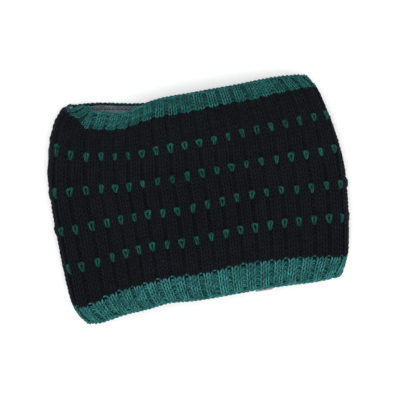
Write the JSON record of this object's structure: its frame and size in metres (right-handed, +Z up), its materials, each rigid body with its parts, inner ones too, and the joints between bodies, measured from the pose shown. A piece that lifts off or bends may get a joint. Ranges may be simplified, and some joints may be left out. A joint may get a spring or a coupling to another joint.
{
  "type": "neck gaiter",
  "caption": "Chunky rib-knit neck gaiter, a short tube with contrast cuffs, rows of accent stitches and a fleece lining, lying flat.",
  "frame": {"origin": "on the table under the middle of the gaiter as it lies flat", "axes": "+X across the two side folds, +Y along the neck tube from bottom hem to top hem, +Z up from the table"},
  "size_m": [0.2782, 0.2074, 0.042],
  "materials": {
    "black_yarn": "matt black acrylic-wool yarn, chunky rib knit",
    "teal_yarn": "matt teal acrylic-wool yarn, chunky rib knit",
    "accent_yarn": "matt green-teal yarn, single stitches",
    "fleece": "soft brushed fleece, blue-grey",
    "seam_thread": "spun polyester sewing thread",
    "label_tape": "blank satin-woven tape"
  },
  "bodies": {
    "gaiter": {"knit_body": "black_yarn", "bottom_cuff": "teal_yarn", "top_cuff": "teal_yarn", "accent_yarn_1": "accent_yarn", "accent_yarn_2": "accent_yarn", "accent_yarn_3": "accent_yarn", "accent_yarn_4": "accent_yarn", "fleece_lining": "fleece", "lining_top_seam": "seam_thread", "lining_bottom_seam": "seam_thread", "lining_back_seam": "seam_thread"},
    "label": {"care_label": "label_tape", "care_label_stitch": "seam_thread"}
  },
  "joints": [
    {"name": "label_flap", "type": "hinge", "parent": "gaiter", "child": "label", "pos_m": [0.047, -0.079, 0.0051], "axis": [-1, 0, 0], "range_deg": [0, 65]}
  ]
}
